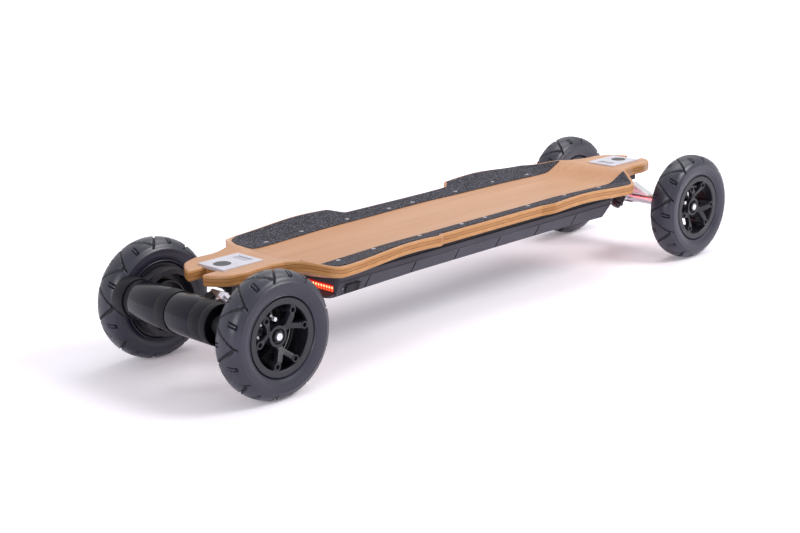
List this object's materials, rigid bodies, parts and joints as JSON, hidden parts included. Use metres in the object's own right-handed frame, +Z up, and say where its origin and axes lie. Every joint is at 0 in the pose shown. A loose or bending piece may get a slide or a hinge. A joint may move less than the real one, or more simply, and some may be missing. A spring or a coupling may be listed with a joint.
{
  "type": "electric mountainboard",
  "caption": "Belt-driven electric mountainboard: bamboo deck with side grip tapes, battery case below, double-kingpin trucks, air tyres and rear motors.",
  "frame": {"origin": "on the floor below the middle of the board, half way between the axles", "axes": "+X towards the nose, away from the motors; +Y to the rider's left when facing the nose; +Z up"},
  "size_m": [1.1014, 0.3096, 0.175],
  "materials": {
    "bamboo": "lacquered bamboo with dark laminate lines on its edge",
    "grip": "coarse grit sheet with a fine sparkle",
    "satin_plate": "satin, bead blasted",
    "badge_grey": "matt disc, left bare",
    "case_plastic": "fine texture, matt",
    "foam_rubber": "matt",
    "cell_wrap": "shrink wrap",
    "controller_alu": "machined",
    "port_metal": "brushed",
    "lamp_red": "clear red, lit",
    "screw_steel": "plain",
    "truck_black": "powder coat",
    "pin_steel": "zinc plated",
    "bushing_rubber": "matt",
    "gland_plastic": "matt",
    "button_metal": "turned face",
    "motor_black": "satin anodised",
    "mount_black": "matt anodised",
    "belt_rubber": "woven back",
    "hanger_alu": "polished",
    "rotor_steel": "ground",
    "gear_black": "filled nylon",
    "tyre_rubber": "matt, moulded treads",
    "tube_rubber": "matt",
    "rim_black": "satin glass-filled nylon"
  },
  "bodies": {
    "board": {"deck": "bamboo", "grip_tape": "grip", "top_plates": "satin_plate", "plate_badges": "badge_grey", "case_shell": "case_plastic", "case_gasket": "foam_rubber", "battery_cells": "cell_wrap", "motor_controller": "controller_alu", "charge_port": "port_metal", "front_light": "lamp_red", "rear_light": "lamp_red", "deck_screws": "screw_steel", "truck_bolts": "screw_steel", "riser_pads": "foam_rubber", "truck_bases": "truck_black", "base_kingpins": "truck_black", "base_bushings": "bushing_rubber", "cable_glands": "gland_plastic"},
    "button": {"power_button": "button_metal"},
    "cap": {"port_cap": "foam_rubber"},
    "front_link": {"front_pivot_link": "hanger_alu", "front_link_kingpin": "pin_steel", "front_link_bushings": "bushing_rubber"},
    "front_axle": {"front_hanger": "hanger_alu", "front_axle_nuts": "truck_black"},
    "rear_link": {"rear_pivot_link": "hanger_alu", "rear_link_kingpin": "pin_steel", "rear_link_bushings": "bushing_rubber"},
    "rear_axle": {"rear_hanger": "hanger_alu", "rear_axle_nuts": "truck_black", "left_motor_can": "motor_black", "right_motor_can": "motor_black", "motor_clamp": "motor_black", "motor_mounts": "mount_black", "drive_belts": "belt_rubber", "belt_covers": "mount_black"},
    "left_motor_rotor": {"left_rotor": "rotor_steel"},
    "right_motor_rotor": {"right_rotor": "rotor_steel"},
    "fl_wheel": {"fl_tyre": "tyre_rubber", "fl_tube": "tube_rubber", "fl_rim_outer": "rim_black", "fl_rim_inner": "rim_black", "fl_hardware": "screw_steel"},
    "fr_wheel": {"fr_tyre": "tyre_rubber", "fr_tube": "tube_rubber", "fr_rim_outer": "rim_black", "fr_rim_inner": "rim_black", "fr_hardware": "screw_steel"},
    "rl_wheel": {"rl_tyre": "tyre_rubber", "rl_tube": "tube_rubber", "rl_rim_outer": "rim_black", "rl_rim_inner": "rim_black", "rl_hardware": "screw_steel", "left_wheel_gear": "gear_black"},
    "rr_wheel": {"rr_tyre": "tyre_rubber", "rr_tube": "tube_rubber", "rr_rim_outer": "rim_black", "rr_rim_inner": "rim_black", "rr_hardware": "screw_steel", "right_wheel_gear": "gear_black"}
  },
  "joints": [
    {"name": "front_link_turn", "type": "hinge", "parent": "board", "child": "front_link", "pos_m": [0.417, 0, 0.1125], "axis": [0.6428, 0, 0.766], "range_deg": [-8, 8], "stiffness_Nm_per_rad": 60},
    {"name": "front_axle_turn", "type": "hinge", "parent": "front_link", "child": "front_axle", "pos_m": [0.44972, 0, 0.09549], "axis": [0.6428, 0, 0.766], "range_deg": [-8, 8], "stiffness_Nm_per_rad": 60},
    {"name": "rear_link_turn", "type": "hinge", "parent": "board", "child": "rear_link", "pos_m": [-0.417, 0, 0.1125], "axis": [-0.6428, 0, 0.766], "range_deg": [-8, 8], "stiffness_Nm_per_rad": 60},
    {"name": "rear_axle_turn", "type": "hinge", "parent": "rear_link", "child": "rear_axle", "pos_m": [-0.44972, 0, 0.09549], "axis": [-0.6428, 0, 0.766], "range_deg": [-8, 8], "stiffness_Nm_per_rad": 60},
    {"name": "fl_wheel_spin", "type": "hinge", "parent": "front_axle", "child": "fl_wheel", "pos_m": [0.4632, 0.1313, 0.0875], "axis": [0, 1, 0], "continuous": true},
    {"name": "fr_wheel_spin", "type": "hinge", "parent": "front_axle", "child": "fr_wheel", "pos_m": [0.4632, -0.1313, 0.0875], "axis": [0, 1, 0], "continuous": true},
    {"name": "rl_wheel_spin", "type": "hinge", "parent": "rear_axle", "child": "rl_wheel", "pos_m": [-0.4632, 0.1313, 0.0875], "axis": [0, 1, 0], "continuous": true},
    {"name": "rr_wheel_spin", "type": "hinge", "parent": "rear_axle", "child": "rr_wheel", "pos_m": [-0.4632, -0.1313, 0.0875], "axis": [0, 1, 0], "continuous": true},
    {"name": "left_motor_spin", "type": "hinge", "parent": "rear_axle", "child": "left_motor_rotor", "pos_m": [-0.5212, 0.05, 0.1075], "axis": [0, 1, 0], "continuous": true},
    {"name": "right_motor_spin", "type": "hinge", "parent": "rear_axle", "child": "right_motor_rotor", "pos_m": [-0.5212, -0.05, 0.1075], "axis": [0, 1, 0], "continuous": true},
    {"name": "button_press", "type": "slide", "parent": "board", "child": "button", "axis": [0, 0.9224, 0.3861], "range_m": [0, 0.0015], "stiffness_N_per_m": 800},
    {"name": "cap_hinge", "type": "hinge", "parent": "board", "child": "cap", "pos_m": [-0.2918, -0.0879, 0.10275], "axis": [0, 0.3861, -0.9224], "range_deg": [0, 120]}
  ],
  "couplings": [
    {"joint": "front_axle_turn", "follows": "front_link_turn", "ratio": 1},
    {"joint": "rear_axle_turn", "follows": "rear_link_turn", "ratio": 1},
    {"joint": "left_motor_spin", "follows": "rl_wheel_spin", "ratio": 4.2857},
    {"joint": "right_motor_spin", "follows": "rr_wheel_spin", "ratio": 4.2857}
  ]
}
